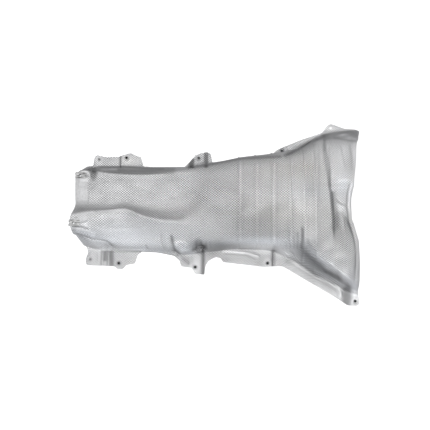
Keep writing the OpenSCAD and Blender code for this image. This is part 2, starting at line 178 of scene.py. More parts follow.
def soft(line, p):
    return (lookup(line, p - ROUNDING) + 2 * lookup(line, p) + lookup(line, p + ROUNDING)) / 4


def ramp(v):
    c = np.clip(v, 0, 1)
    return c * c * (3 - 2 * c)


def swell(d, w):
    return np.where(np.abs(d) < w / 2, (1 + np.cos(2 * np.pi * d / w)) / 2, 0)


def rib_sum(places, s, w, h):
    return h * np.max([swell(s - along(p), w) for p in places], axis=0)


def corners(s):
    """The section's corners at every s from flange to flange, (9, len(s), 2), and their bends' reach."""
    p = 100 * s / LENGTH
    shelf = SHELF + (CROWN - SHELF) * soft(SHELF_RISE, p)
    bulge = BULGE + (CROWN - BULGE) * soft(BULGE_RISE, p)
    ear = EAR * ramp((s - along(EAR_FROM)) / EAR_START + .5) * ramp((along(EAR_TO) - s) / EAR_END)
    up = np.maximum(rib_sum(FOOT_RIBS_UP, s, UP_RIB_W, UP_RIB_H), ear)
    low = rib_sum(FOOT_RIBS_LOW, s, FOOT_W, FOOT_H)
    lines = (FOOT_UP, SHOULDER_UP, SHELF_END, BULGE_TOP, SHOULDER_LOW, CREASE, FOOT_LOW)
    ys = [soft(line, p) for line in lines]
    ys = [ys[0] + FLANGE_UP] + ys + [ys[-1] - FLANGE_LOW]
    zs = [up, up, shelf * soft(SHOULDER_UP_Z, p) / 100, shelf, bulge,
          bulge * soft(SHOULDER_LOW_Z, p) / 100, bulge * soft(CREASE_Z, p) / 100, low, low]
    none = np.zeros(len(s))
    reach = [none, none + FOOT_BEND, soft(SHOULDER_UP_BEND, p), soft(SHELF_BEND, p), soft(BULGE_BEND, p),
             soft(SHOULDER_LOW_BEND, p), none + CREASE_BEND, none + FOOT_BEND, none]
    return np.stack([across(np.stack(ys)), np.stack(zs)], -1), np.stack(reach)


def sheet_rows(s):
    """Points across the sheet for every s, (rows, columns, 2), and their places by bend, such as 3.0
    in the middle of bend 3."""
    c, reach = corners(s)
    last = len(c) - 1
    gaps = np.linalg.norm(np.diff(c, axis=0), axis=-1)
    share = np.minimum(1, BEND_SHARE * gaps / (reach[:-1] + reach[1:]))
    bends = [(c[0][None], np.zeros((1, len(s))))]
    for i in range(1, last):
        back, ahead = reach[i] * share[i - 1], reach[i] * share[i]
        a = c[i] + (c[i - 1] - c[i]) * (back / gaps[i - 1])[:, None]
        b = c[i] + (c[i + 1] - c[i]) * (ahead / gaps[i])[:, None]
        n = max(BEND_STEPS, math.ceil((back + ahead).mean() / PITCH))
        u = np.linspace(0, 1, n + 1)[:, None, None]
        bends.append((arc(a, c[i], b, u), i + (u[..., 0] - .5) / 2 + 0 * s))
    bends.append((c[last][None], np.full((1, len(s)), float(last))))
    points, places = [bends[0][0]], [bends[0][1]]
    for (q, place), (next_q, next_place) in zip(bends, bends[1:]):
        a, b = q[-1], next_q[0]
        n = max(1, math.ceil(np.linalg.norm(b - a, axis=-1).mean() / PITCH))
        t = (np.arange(1, n) / n)[:, None]
        points += [a + (b - a) * t[..., None], next_q]
        places += [place[-1] + (next_place[0] - place[-1]) * t, next_place]
    return np.concatenate(points), np.concatenate(places)


def arc(a, corner, b, u):
    """The rounded corner from a to b at the share u of its way."""
    return a * (1 - u) ** 2 + 2 * corner * u * (1 - u) + b * u ** 2


def slide(s, b):
    """Where a column lies at the bend b: the ends and the collar follow their lines."""
    p = 100 * s / LENGTH
    line = lookup(COLLAR_LINE, b)
    stops = [NARROW_END, NARROW_REACH, COLLAR_REACH, COLLAR_AT, COLLAR_FOOT, FLARED_END]
    moved = [lookup(NARROW_EDGE, b), NARROW_REACH + 0 * b, COLLAR_REACH + 0 * b, line,
             line + COLLAR_FOOT - COLLAR_AT, lookup(FLARED_EDGE, b)]
    out = moved[0]
    for x0, x1, y0, y1 in zip(stops, stops[1:], moved, moved[1:]):
        t = np.clip((p - x0) / (x1 - x0), 0, 1)
        out = np.where(p >= x0, y0 + (y1 - y0) * t, out)
    return along(out)


def columns():
    """The columns before they slide, with one at every rib's foot and crest."""
    stops = sorted([NARROW_END, NARROW_REACH, COLLAR_REACH, COLLAR_AT, COLLAR_FOOT, FLARED_END]
                   + [p + k * 100 * RIB_W / 2 / LENGTH for p in CROWN_RIBS for k in (-1, 0, 1)
                      if p + k < COLLAR_REACH])
    out = [np.array([stops[0]])]
    for a, b in zip(stops, stops[1:]):
        n = max(1, round(along(b - a) / PITCH + .3))
        out.append(a + (b - a) * np.arange(1, n + 1) / n)
    return along(np.concatenate(out))


def normals_of(p):
    """Outward unit normals of a (columns, rows, 3) grid."""
    n = np.cross(np.gradient(p, axis=1), np.gradient(p, axis=0))
    return n / np.maximum(np.linalg.norm(n, axis=-1, keepdims=True), 1e-9)


def pressed_in(s, b):
    """Depth of the recess and of the groove in the lower wall."""
    depth, at, length, place, reach = RECESS
    recess = depth * swell(s - along(at), along(length)) * swell(b - place, reach)
    groove = GROOVE_DEPTH * swell(s - along(lookup(GROOVE, b)), GROOVE_W)
    return recess + groove * ramp(2 * (b - SHOULDER)) * ramp(2 * (7 - b))


def base_grid():
    """The sheet's upper side, (columns, rows, 3), its plan before it is pressed in, its places by bend,
    and the columns."""
    s = columns()
    q, b = sheet_rows(s)
    q, b = q.transpose(1, 0, 2), b.T
    t = np.zeros_like(q)
    t[:, 1:-1] = q[:, 2:] - q[:, :-2]
    t[:, 0], t[:, -1] = q[:, 1] - q[:, 0], q[:, -1] - q[:, -2]
    out = np.stack([t[..., 1], -t[..., 0]], -1) / np.linalg.norm(t, axis=-1, keepdims=True)
    lift = rib_sum(CROWN_RIBS, s, RIB_W * RIB_SPREAD, RIB_H)[:, None] * ramp(b - 1) * ramp(7 - b)
    drop = DROP * ramp((s - along(COLLAR_AT)) / along(COLLAR_FOOT - COLLAR_AT))[:, None]
    yz = q + out * (lift - drop * lookup(COLLAR_DEPTH, b))[..., None]
    x = slide(s[:, None] + 0 * b, b)
    plan = np.stack([x, yz[..., 0]], -1)
    yz = yz - out * pressed_in(s[:, None], b)[..., None] + [0, THICK]
    return np.concatenate([x[..., None], yz], -1), plan, b, s


# The view of the photograph
PHOTO, HALF = 430, 215  # its sides in pixels, and half of that
TILT, REACH, PER_MM = math.radians(72), 1700.0, 1 / 2.6  # camera's height, distance, pixels per mm
AHEAD = np.array([0, math.cos(TILT), -math.sin(TILT)])
UPWARD = np.array([0, math.sin(TILT), math.cos(TILT)])
FOCUS = REACH * PER_MM


def seen(p):
    """Where points of the sheet lie in the photograph's frame."""
    d = p + REACH * AHEAD
    z = d @ AHEAD
    return np.stack([HALF + FOCUS * d[..., 0] / z, HALF - FOCUS * (d @ UPWARD) / z], -1)


# What the photograph shows on the sheet, in its pixels, with lifts in millimetres. A tone over 1 is a
# painted highlight, one under 1 painted shade, such as the dark lines along creases and the darkened walls
# and recesses. A fold is its places, lift (a groove's is below 0), width, tone, and the share that tapers,
# if not .1, and a line of painted highlight or shade alone is a fold without lift. A dent is x, y, width,
# height, lift, tone, and its turn in degrees, if any, and a spot of painted highlight or shade alone is a
# dent without lift.
FOLDS = [
    # narrow end, with the nuts' pads
    ([(79, 170.8), (87, 171.2), (90, 174), (89.6, 178), (84, 179.4), (79, 179.4)], 1.6, .9, 1.25, .05),
    ([(80, 173), (85.6, 173.4), (87.4, 175.6), (85, 177.6)], -.6, .8, .8),
    ([(88, 180), (88, 190), (87.8, 205)], -.6, .7, .86),
    ([(78, 182), (86.5, 182), (86.5, 189), (78, 189), (78, 182)], .35, .7, .95, 0),
    ([(81, 190), (81, 199)], .25, .7, 1.08, .2), ([(84, 190), (84, 199)], .25, .7, 1.08, .2),
    ([(88, 214.5), (88.8, 221), (86, 226.5)], 1.2, .9, 1.05, .2), ([(74, 217), (78, 217)], -.8, .7, .75, .2),
    ([(86.5, 218.5), (87, 222)], -.8, .7, .75, .2),
    ([(71, 226.2), (80, 226.4), (84, 227.2), (89, 230)], -2.2, .9, .72, .12),
    ([(80, 224), (85, 223.4), (88, 220)], 1.6, 1, 1.14, .2),
    # creases under the raised side
    ([(75, 233.6), (84, 236.6), (92, 239.6), (100, 240.6), (107, 241.8), (113, 248.5)], -2.6, 1, .74, .06),
    ([(77, 236.5), (86, 239.4), (94, 242)], 1.4, 1.2, .92, .2),
    ([(98, 224), (112, 227.5), (128, 227.8), (142, 225.5)], -.7, 2.2, .95, .3),
    ([(98, 249.2), (120, 249.4), (140, 249.6), (160, 252), (178, 254.6)], 1.1, .9, 1.18, .04),
    ([(99, 251.4), (120, 251.8), (140, 252), (158, 253.6), (178, 256.2)], -.9, .8, .62, .04),
    ([(144.4, 244.6), (148.2, 249.2)], -1.6, .7, .7, .2),
    ([(160.4, 233), (161, 242), (164.4, 250.4)], -1.3, .9, .88, .15),
    ([(165.4, 232), (166.6, 242), (168.6, 250)], 1.1, 1.2, 1.05, .2),
    # lower ears
    ([(105.2, 250.6), (105, 261)], -.6, 2, .44, .04), ([(111.4, 250.6), (111.8, 267)], -.6, 2.4, .42, .04),
    ([(108.2, 252), (108.2, 260)], 1.4, .8, 1.02, .2), ([(98, 252), (98.6, 263)], .8, 1.2, 1, .2),
    ([(91, 253), (89, 258)], .6, 1.1, .93, .2),
    ([(170.6, 234), (172, 241), (173.6, 248), (179.4, 257)], -1.6, 1.3, .56),
    ([(173.8, 244.2), (178, 241.6), (183, 242.2), (189.4, 246.6)], 2.2, .9, 1.22, .15),
    ([(174.6, 241.6), (176.6, 245.4)], 1.2, 1.2, 1.2, .2),
    ([(180, 253), (184, 259.6), (189.4, 265.4)], -1.4, 1.7, .76),
    ([(188.4, 260.6), (189, 265)], -1.5, .7, .62), ([(183, 250), (187, 258), (191, 262)], .9, 1.2, 1, .2),
    ([(203, 246), (203.2, 260), (202.6, 276)], -1.2, 2, .46, .02),
    ([(206.6, 252), (206.4, 262)], .8, .8, 1.05), ([(192.4, 254), (192, 262), (193, 268)], -.8, .8, .86),
    ([(198, 243), (200.6, 250)], -.8, 4.6, .72, 0),
    ([(179, 250.8), (186, 250.6), (192.6, 250.4)], 1.2, 2.4, 1.26),
    ([(196, 240), (197.4, 252)], -1, .7, .86, .2), ([(201, 240), (201.6, 252)], -1.4, .7, .8, .2),
    ([(205.6, 240), (205.8, 252)], -1.2, .7, .8, .2), ([(210, 241), (210, 250)], -1, .8, .9, .2),
    # lower flange
    ([(222, 251.4), (236, 252), (248, 253.4), (260, 257)], 3.2, 1.3, 1.6, .04),
    ([(223, 253.8), (236, 254.4), (247, 255.6), (256, 259.4)], -1.6, .9, .6, .06),
    ([(225, 260), (229.6, 258.6)], -.9, .8, .8, .2),
    ([(262.6, 268), (262.8, 258), (267, 255.4), (270.6, 258), (270.8, 268)], .8, .9, .9, 0),
    ([(273.2, 250), (273.4, 258), (273.2, 268)], -2.2, 2.1, .52, .05),
    ([(276.8, 251), (277, 264)], 1, 1, 1.04, .2), ([(283, 251), (289, 257)], 1.2, 1.1, 1.14, .2),
    ([(281, 255), (286, 260)], -1, .9, .88, .2), ([(290, 250), (294, 256)], -1.2, .9, .86, .2),
    # diagonal wall and its flange
    ([(333.4, 285.6), (337.8, 287.6), (340.8, 291.2), (341, 297.5)], 1.8, 1, 1.35),
    ([(323, 270), (327, 273.4)], -1, 1.2, .72), ([(337.4, 276), (339.4, 281)], -1, 1.2, .74),
    ([(284, 257), (300, 266), (318, 276.4), (334, 283.4)], .9, 1, 1.04),
    # wrinkles between the crown and that wall
    ([(301.6, 226), (301.6, 238), (300.8, 251)], -2.4, 1, .62),
    ([(297.4, 231), (297.2, 250)], -1.3, .8, .72, .12), ([(293.6, 237), (294, 250)], -1.3, .8, .76, .12),
    ([(289.8, 239), (290.4, 249)], -1.1, .8, .8, .12), ([(285.8, 241), (286, 249)], -1, .7, .88, .15),
    ([(305, 232), (305.4, 247)], 1, 1, 1.06, .2),
    # collar
    ([(324.4, 139), (326.6, 150), (329.4, 160), (331, 175), (331, 192)], -.9, .9, .84, .02),
    ([(333, 190), (334.2, 204), (335.8, 217), (336.6, 231)], -.9, 3.4, .68, .06),
    ([(328.8, 146), (330.2, 158), (331.2, 176)], -.4, 1, .86), ([(324.4, 139), (325, 152)], -.4, 1.3, .8),
    ([(321.6, 152), (322.6, 172)], .5, 1.6, 1.1, .2), ([(319, 142), (319.2, 205)], -.3, .8, .9),
    ([(341, 144), (343.4, 155), (346.4, 168)], -.6, .9, .9, .12),
    ([(339.6, 146), (341.6, 158), (344, 170)], .5, .9, 1.04, .15),
    ([(349.6, 142), (352, 156), (352.4, 172)], -1, .9, .8, .12),
    ([(337, 180.4), (344, 178.8), (352, 180)], 1, 1.3, 1.2, .15),
    ([(336.4, 199), (340, 202.6), (347, 205.6)], -1.6, 1.1, .76),
    ([(336.6, 203), (341, 206), (346, 208)], 1.5, 1, 1.15), ([(337.6, 209.6), (343, 210.6)], 1.2, .9, 1.15),
    ([(337, 212), (345, 213)], -1.2, .9, .8, .15),
    ([(341.8, 213), (343.8, 224), (346, 237)], 1.3, .8, .95, .15),
    ([(338.8, 214), (340.6, 226), (343, 240)], -.9, .9, .92, .15),
    ([(351.4, 179), (347.8, 192), (347, 206), (349.4, 222), (353.6, 235), (356, 250), (355.8, 268),
      (354, 286)], -1.3, .8, .7, .06),
    ([(353, 181), (349.9, 192), (349.2, 204), (350, 213)], 1.2, 1.1, 1.5),
    ([(357.6, 240), (358.6, 262), (357.6, 280)], .3, .9, 1.08),
    ([(345, 214), (351, 228), (355, 238)], -1.4, 1.6, .74, .2),
    # upper ears and their edge
    ([(120.4, 156), (120.4, 167)], -.6, .7, .42, 0),
    ([(97, 170.6), (105, 171.8), (130, 173.4), (150, 173.8), (176, 172.4)], -.4, .8, .76, .05),
    ([(100, 173), (130, 175.2), (176, 174)], .2, .7, 1.06), ([(178.4, 178), (178.8, 190)], .3, .6, .9),
    ([(169, 198.6), (176, 198.4)], .3, .6, .86),
    ([(107, 160), (118.6, 159), (119, 165), (108, 166)], -.4, 1.2, .95),
    ([(205.8, 153), (206, 167.4)], -1.6, 2.1, .46, .03), ([(209.8, 155), (210, 165)], .8, .9, 1.08),
    ([(191.8, 158.6), (191.2, 168)], -.8, 3, .3, .02), ([(286.4, 146.6), (287, 150.6)], -.8, .9, .8),
    ([(283.4, 147), (279, 152)], -.6, .8, .86, .2), ([(323, 131), (330, 131.4), (341, 130)], -.8, 1, .84),
    ([(323, 134.6), (326, 128), (331, 125.6)], .7, 1, 1.05),
]
# Lines of painted highlight and shade alone, without lift
PAINTED_LIGHT_LINES = [
    ([(75, 229.4), (85, 232.2), (96, 235.6)], 3, 1.32),
    ([(79.6, 170.8), (84, 169.8), (91, 169.4)], 1.1, .6, .05),
    ([(92, 211.8), (112, 211.2), (126, 211.8), (140, 216)], 3, .86),
    ([(98, 249.8), (110, 250.4), (130, 250.6), (146, 250)], 1.1, 1.4, .05),
    ([(156, 216.6), (166, 218.4), (176, 218.8), (188, 217)], 2.4, .82, .2),
    ([(180.5, 253.4), (188, 253.4), (195, 252.8)], 1.4, 1.36), ([(196.4, 252), (205, 252)], 1.8, .6, .05),
    ([(244, 253), (252, 254.4), (261, 257.4)], 1.6, .82, .05), ([(238, 249.2), (262, 250.4)], 1.3, .8),
    ([(347, 291), (347.2, 298), (345.2, 306)], 5, .43, 0),
    ([(342, 282.6), (346.6, 287.4), (347.6, 290)], 3.6, .89),
    ([(303, 251.4), (314, 260), (326, 269.4), (338, 277.6), (345, 282.6)], 2.4, .74, .08),
    ([(302, 243), (309, 250), (316, 256.4), (327, 267), (338, 273.6)], 3.2, 1.24, .08),
    ([(285, 260), (296, 264), (305, 270), (315, 276), (327, 283), (338, 290)], 3.2, .74, .03),
    ([(290, 269), (305, 276.6), (320, 284), (335, 291.6)], 4, .86),
    ([(330.6, 186), (331.4, 198), (332.4, 212), (333.6, 228)], 1.4, 1.42, .05),
    ([(101, 169), (118, 169.4)], .5, 1.3), ([(284, 149.4), (300, 142.4), (321, 133.8)], 1.9, 1.4, .05),
    ([(98, 167.2), (112, 166.8), (130, 167), (150, 168.8), (166, 169)], 1.1, .7, .05),
    ([(99, 170.6), (108, 170.2), (118, 169.6)], 1.5, 1.36),
    ([(285, 155), (293, 151.4), (300, 148), (308, 143.4), (316, 139.8), (330, 135)], 1.7, .7, .05),
    ([(333, 137.8), (340, 138.8), (350, 140.8), (357, 141.2)], 1.2, .74, .05),
    ([(84, 168.6), (96, 169.2), (112, 170.4), (130, 171), (150, 171.2), (178, 169.6)], 2.2, .66, .06),
    ([(186, 168.4), (205, 165.6), (222, 162), (240, 158.8), (262, 157.4), (283, 156.6)], 1.5, .62, .03),
    ([(283, 156), (290, 153.6), (298, 149.6), (305, 145.2), (311, 141.4), (317, 139), (326, 135.8)],
     1.5, .62, .03),
    ([(283, 158.6), (298, 152.6), (311, 145.4), (317, 142.6)], 2.8, .86),
    ([(322, 137.4), (334, 134.8), (346, 134.2), (358, 134.4)], 3.8, .66, .03),
]
DENTS = [
    (90, 243.6, 8, 3.4, -1, .84, 24), (92.5, 177, 2.4, 3.4, -1.8, .7), (93.6, 170.6, 3, 5.6, -5.5, .34),
    (108, 245.5, 9, 3, -2, .84, 8), (118.8, 263.2, 7, 4.6, .8, 1.06), (126.8, 158.6, 7, 4, .8, 1.08),
    (176, 243.4, 2, 1.4, .6, 1.2), (177.6, 244.4, 3, 2.4, 1, 1.15), (184, 249, 7, 4, 3, 1.2, 20),
    (195.5, 262, 4.6, 7, .8, 1.1), (199, 247.6, 8, 4.4, -4, .8), (267, 261.6, 3.6, 5, .6, 1.3),
    (287, 254.6, 2.8, 2.8, .8, 1.4), (303, 250, 6, 6, -1.5, .7, 30), (343, 135.4, 5, 1.3, 2.6, 1.8, -8),
    (349.5, 137.2, 3.6, 1.8, .5, 1.45),
]
# Spots of painted highlight and shade alone, without lift
PAINTED_LIGHT_SPOTS = [
    (80, 208.6, 8, 3.6, .82), (82.5, 190, 4.6, 11, 1.12), (92, 240, 15, 6, 1.14, 20),
    (98, 243.5, 15, 4.4, 1.3, 8), (98, 161.6, 6, 5, 1.14), (112, 207, 22, 3, 1.18), (125, 243, 52, 7, 1.46),
    (130, 222, 50, 6, .95), (136, 161, 7, 5, 1.05), (147, 220, 14, 8, .94), (150, 232, 50, 11, 1.05),
    (170, 213.6, 22, 4.6, .95), (172.3, 239.4, 2.2, 3.4, .74), (186, 262, 6, 3, .84), (187, 258.6, 6, 4, .7),
    (198, 246, 22, 7, .86), (198, 161, 6, 4, .86), (214, 253.6, 8, 3, .84), (217, 243.6, 10, 3.4, .9),
    (218, 245, 9, 4.6, .8), (228, 248, 13, 3, .93), (228, 246, 13, 3.4, .86), (230, 183, 44, 12, .92),
    (242, 259.6, 19, 3.2, .84, 4), (250, 258, 34, 6, .93), (258, 219, 60, 15, .84), (258, 223, 44, 13, .8),
    (258.6, 262.6, 3, 4, .86), (260, 246.6, 19, 4.2, 1.5), (262, 241, 38, 4.6, 1.36), (262, 206, 40, 9, .93),
    (262, 168, 44, 12, .92), (268, 243, 10, 5, 1.06), (268, 258, 11, 4.4, .84), (285, 252, 13, 5.6, 1.42),
    (312, 276, 28, 5, .88, 30), (314, 262, 17, 4.6, .64, 38), (314, 164, 9, 20, 1.1),
    (322, 256, 8, 5, 1.1, 38), (322, 240, 14, 10, .95), (327, 269, 5, 2.4, 1.3, 30),
    (330, 273, 12, 3, .68, 30), (331, 129, 11, 3.6, 1.42), (335, 220, 10, 20, .93), (338, 263, 12, 8, 1.26),
    (338, 226, 8, 8, .86), (340, 290, 4, 4, .8), (340, 158, 14, 20, 1.5), (341.6, 208, 4.6, 6, 1.3),
    (343, 190, 9, 11, 1.08), (343, 273, 5, 4, 1.1), (346, 148, 5, 8, 1.14), (347.6, 275.6, 8, 7, 1.6),
    (349, 226, 5, 8, .86), (350.4, 256, 6, 22, 1.4), (353, 215, 4, 26, .9), (354.4, 285.4, 4.6, 9, 1.6),
    (355, 299, 6, 5, 1.12), (355.2, 153, 2.4, 17, 1.4),
]
# Pressed rings round the bolt holes as x, y, radius, with a dark rim of painted shade and without
RINGS = [
    (118.8, 263.4, 4.4), (126.8, 158.5, 3.4), (195.2, 267.2, 3.6), (267.3, 263.3, 3.2), (198.5, 158.3, 3),
    (355.5, 302, 3.2), (282, 150.3, 2.8),
]
PLAIN_RINGS = [(90.5, 259.5, 3.2), (99.5, 159.5, 3.2), (330.5, 127.8, 3.4)]
# a faint painted highlight on each ring, and painted shade on the rim round a hole
RING_W, RING_H, PAINTED_RING_HIGHLIGHT = .8, .5, .08
RIM_R, PAINTED_RIM_SHADE = 1.7, -.45
BROAD, FAR = 3, 3.2  # width from which a fold has a flat top, and how many widths it is felt


def line_distance(at, line):
    """Distance of each place from a bent line, and how far along it the nearest point is, 0 to 1."""
    line = np.array(line, float)
    steps = np.linalg.norm(np.diff(line, axis=0), axis=1)
    start = np.concatenate([[0], np.cumsum(steps)])
    best, far = np.full(at.shape[:-1], np.inf), np.zeros(at.shape[:-1])
    for k in range(len(line) - 1):
        a, d = line[k], line[k + 1] - line[k]
        t = np.clip(((at - a) @ d) / (d @ d), 0, 1)
        r = np.linalg.norm(at - a - t[..., None] * d, axis=-1)
        far = np.where(r < best, (start[k] + t * steps[k]) / start[-1], far)
        best = np.minimum(best, r)
    return best, far


def fold(at, line, width, taper=.1):
    """How much of a fold is felt, 0 to 1."""
    r, t = line_distance(at, line)
    ends = ramp(t / taper) * ramp((1 - t) / taper) if taper else 1
    return np.exp(-(r / width) ** (2 if width < BROAD else 4)) * ends


def blob(at, x, y, rx, ry, turn=0.0):
    """How much of a soft spot is felt, 0 to 1."""
    c, s = math.cos(math.radians(turn)), math.sin(math.radians(turn))
    dx, dy = at[..., 0] - x, at[..., 1] - y
    return np.exp(-((dx * c + dy * s) / rx) ** 2 - ((dy * c - dx * s) / ry) ** 2)


def ring(at, x, y, r):
    return np.exp(-((np.hypot(at[..., 0] - x, at[..., 1] - y) - r) / RING_W) ** 2)


def near(at, line, pad):
    """Which points are close to a line."""
    line = np.array(line, float)
    lo, hi = line.min(0) - pad, line.max(0) + pad
    return ((at >= lo) & (at <= hi)).all(-1)


def detail(at):
    """Lift, and tone of painted highlights and shade, at every point, from the folds, dents and rings."""
    lift, tone = np.zeros(at.shape[:-1]), np.ones(at.shape[:-1])
    for line, height, width, shade, *taper in FOLDS + [(s[0], 0, *s[1:]) for s in PAINTED_LIGHT_LINES]:
        k = near(at, line, FAR * width)
        share = fold(at[k], line, width, *taper)
        lift[k] += height * share
        tone[k] *= 1 + (shade - 1) * share
    for x, y, rx, ry, height, shade, *turn in DENTS + [(*s[:4], 0, *s[4:]) for s in PAINTED_LIGHT_SPOTS]:
        share = blob(at, x, y, rx, ry, *turn)
        lift += height * share
        tone *= 1 + (shade - 1) * share
    for x, y, r in RINGS + PLAIN_RINGS:
        lift += RING_H * ring(at, x, y, r)
        tone *= 1 + PAINTED_RING_HIGHLIGHT * ring(at, x, y, r)
    for x, y, _ in RINGS:
        tone *= 1 + PAINTED_RIM_SHADE * ring(at, x, y, RIM_R)
    return lift, tone


def trim_line():
    """The trimmed outline, with its corners rounded."""
    points = [np.array([along(x), across(y)]) for x, y, _ in TRIM]
    out = []
    for i, (_, _, r) in enumerate(TRIM):
        a, c, b = points[i - 1], points[i], points[(i + 1) % len(points)]
        if not r:
            out.append(c)
            continue
        ac, bc = a - c, b - c
        la, lb = np.linalg.norm(ac), np.linalg.norm(bc)
        turn = math.acos(np.clip(ac @ bc / la / lb, -1, 1))
        d = min(r / math.tan(turn / 2), CORNER_SHARE * la, CORNER_SHARE * lb)
        out += [arc(c + ac * d / la, c, c + bc * d / lb, k / CORNER_STEPS) for k in range(CORNER_STEPS + 1)]
    return np.array(out)


def circle(x, y, r, n):
    a = np.arange(n) * 2 * np.pi / n
    return np.stack([x + r * np.cos(a), y + r * np.sin(a)], -1)


def split(points, step):
    """The loop with its long stretches cut to about step."""
    out = []
    for a, b in zip(points, np.roll(points, -1, 0)):
        n = max(1, math.ceil(np.linalg.norm(b - a) / step))
        out += [a + (b - a) * k / n for k in range(n)]
    return np.array(out)


def outlines():
    """The outline of the sheet, then one loop for every hole."""
    holes = [circle(along(x), across(y), HOLE_R, HOLE_SIDES) for x, y in HOLES + NUTS]
    return [split(trim_line(), 2 * PITCH)] + holes


def inside(p, loop):
    """Whether each point is inside a closed loop."""
    out = np.zeros(len(p), bool)
    for (x1, y1), (x2, y2) in zip(loop, np.roll(loop, -1, 0)):
        if y1 != y2:
            left = p[:, 0] < (x2 - x1) * (p[:, 1] - y1) / (y2 - y1) + x1
            out ^= ((y1 > p[:, 1]) != (y2 > p[:, 1])) & left
    return out


def on_sheet(p, loops):
    """Whether each point is inside the outline and outside every hole."""
    out = inside(p, loops[0])
    for loop in loops[1:]:
        out &= ~inside(p, loop)
    return out


def loop_distance(p, loop):
    """Distance of each point from a closed loop, where it is short."""
    best = np.full(len(p), np.inf)
    for a, b in zip(loop, np.roll(loop, -1, 0)):
        d = b - a
        close = (np.abs(p - (a + b) / 2) < np.abs(d) / 2 + LOOK_ASIDE).all(1)
        q = p[close] - a
        t = np.clip(q @ d / (d @ d), 0, 1)
        best[close] = np.minimum(best[close], np.linalg.norm(q - t[:, None] * d, axis=1))
    return best


def cut_cells(flat, band, loops):
    """Cuts the cells of band along the loops. Returns the places of the vertices, the number of each in
    the grid (-1 for a new one), the triangles on the sheet, and the cell of each."""
    used = np.unique(band)
    local = {int(v): k for k, v in enumerate(used)}
    verts = [Vector(flat[v]) for v in used]
    faces = [[local[int(v)] for v in q] for q in band]
    edges = []
    for loop in loops:
        first = len(verts)
        verts += [Vector(v) for v in loop]
        edges += [(first + k, first + (k + 1) % len(loop)) for k in range(len(loop))]
    places, _, cut, from_verts, _, from_faces = geometry.delaunay_2d_cdt(verts, edges, faces, 0, 1e-5, True)
    places = np.array([tuple(v) for v in places])
    found = [(face, cells[0]) for face, cells in zip(cut, from_faces) if len(cells) and len(face) == 3]
    tri, cell = (np.array(v) for v in zip(*found))
    known = np.full(len(places), -1)
    for k, sources in enumerate(from_verts):
        for j in sources:
            if j < len(used):
                known[k] = used[j]
    kept = on_sheet(places[tri].mean(1), loops)
    return places, known, tri[kept], cell[kept]


def cross(a, b):
    """How far b turns from a, for flat vectors: the area between them."""
    return a[:, 0] * b[:, 1] - a[:, 1] * b[:, 0]


def cell_place(q, p):
    """Where p is in the cell q: shares along its first and second side, by Newton's method."""
    uv = np.full((len(p), 2), .5)
    for _ in range(12):
        u, v = uv[:, :1], uv[:, 1:]
        at = q[:, 0] * (1 - u) * (1 - v) + q[:, 1] * (1 - u) * v + q[:, 2] * u * v + q[:, 3] * u * (1 - v)
        du = (q[:, 3] - q[:, 0]) * (1 - v) + (q[:, 2] - q[:, 1]) * v
        dv = (q[:, 1] - q[:, 0]) * (1 - u) + (q[:, 2] - q[:, 3]) * u
        r = p - at
        det = cross(du, dv)
        det = np.where(np.abs(det) < 1e-9, 1e-9, det)
        uv = np.clip(uv + np.stack([cross(r, dv) / det, cross(du, r) / det], -1), 0, 1)
    return uv


def trimmed(plan, values):
    """Cuts the grid along the outline and round the holes. Values are arrays beside its plan. Returns
    them at every vertex, the whole cells and the triangles."""
    m, n = plan.shape[:2]
    flat = plan.reshape(-1, 2)
    loops = outlines()
    index = np.arange(m * n).reshape(m, n)
    quads = np.stack([index[:-1, :-1], index[:-1, 1:], index[1:, 1:], index[1:, :-1]], -1).reshape(-1, 4)
    spans = [flat[quads[:, k]] - flat[quads[:, k + 2]] for k in (0, 1)]
    size = np.linalg.norm(spans, axis=2).max(0)
    away = np.min([loop_distance(flat, loop) for loop in loops], axis=0)
    edge = away[quads].min(1) < size * NEAR_EDGE
    whole = quads[~edge & on_sheet(flat, loops)[quads].all(1)]
    band = quads[edge]
    places, number, tri, cell = cut_cells(flat, band, loops)
    # every new vertex takes its values from the cell it is in
    home = np.full(len(places), -1)
    home[tri.ravel()] = np.repeat(cell, 3)
    new = np.where((number < 0) & (home >= 0))[0]
    number[new] = m * n + np.arange(len(new))
    corner = band[home[new]]
    u, v = cell_place(flat[corner], places[new]).T
    weight = np.stack([(1 - u) * (1 - v), (1 - u) * v, u * v, u * (1 - v)], -1)
    out = []
    for value in values:
        known = value.reshape(m * n, -1)
        out.append(np.concatenate([known, (known[corner] * weight[..., None]).sum(1)]))
    tri = number[tri]
    a, b, c = (np.concatenate([flat, places[new]])[tri[:, k]] for k in range(3))
    turn = cross(b - a, c - a)
    tri = np.where((turn < 0)[:, None], tri[:, ::-1], tri)[np.abs(turn) > 1e-7]
    return out, whole, tri


# How the emboss and the painted highlights, shade and reflection tints vary, in the photograph's pixels
EVEN, EVEN_STEP = 110.0, 4.0  # millimetres along by which the emboss is evened out, and its step
# Where the emboss is fainter or deeper, as x, y, width, height and change
EMBOSS_SPOTS = [
    (128, 233, 34, 12, -.55), (265, 241, 26, 5, -.5), (343, 172, 7, 24, -.4), (175, 203, 10, 5, -.4),
    (195, 262, 8, 9, -.7), (250, 258, 26, 5, -.5), (130, 161, 14, 5, -.4), (130, 170, 40, 3, -.4),
    (84, 220, 7, 8, -.7), (340, 264, 14, 9, .5), (314, 168, 9, 26, .4), (351, 250, 6, 20, .4),
    (350, 160, 5, 16, .4), (312, 250, 12, 8, .4), (334, 244, 12, 16, .35), (208, 205, 34, 30, .3),
    (240, 192, 46, 8, .35), (110, 222, 26, 5, .3), (335, 224, 5, 10, .5), (346, 244, 5, 8, .5),
]
SMOOTH_BAND = (88.5, 206)  # the narrow end is smooth left of x and above y
STEEP = (.4, .3, .4)  # share of the emboss left on a wall, the normal's z there, and over what it fades
BARE_FOOT = (.75, 6.9, 284, 14)  # share of the emboss lost past a bend, from x on, over pixels
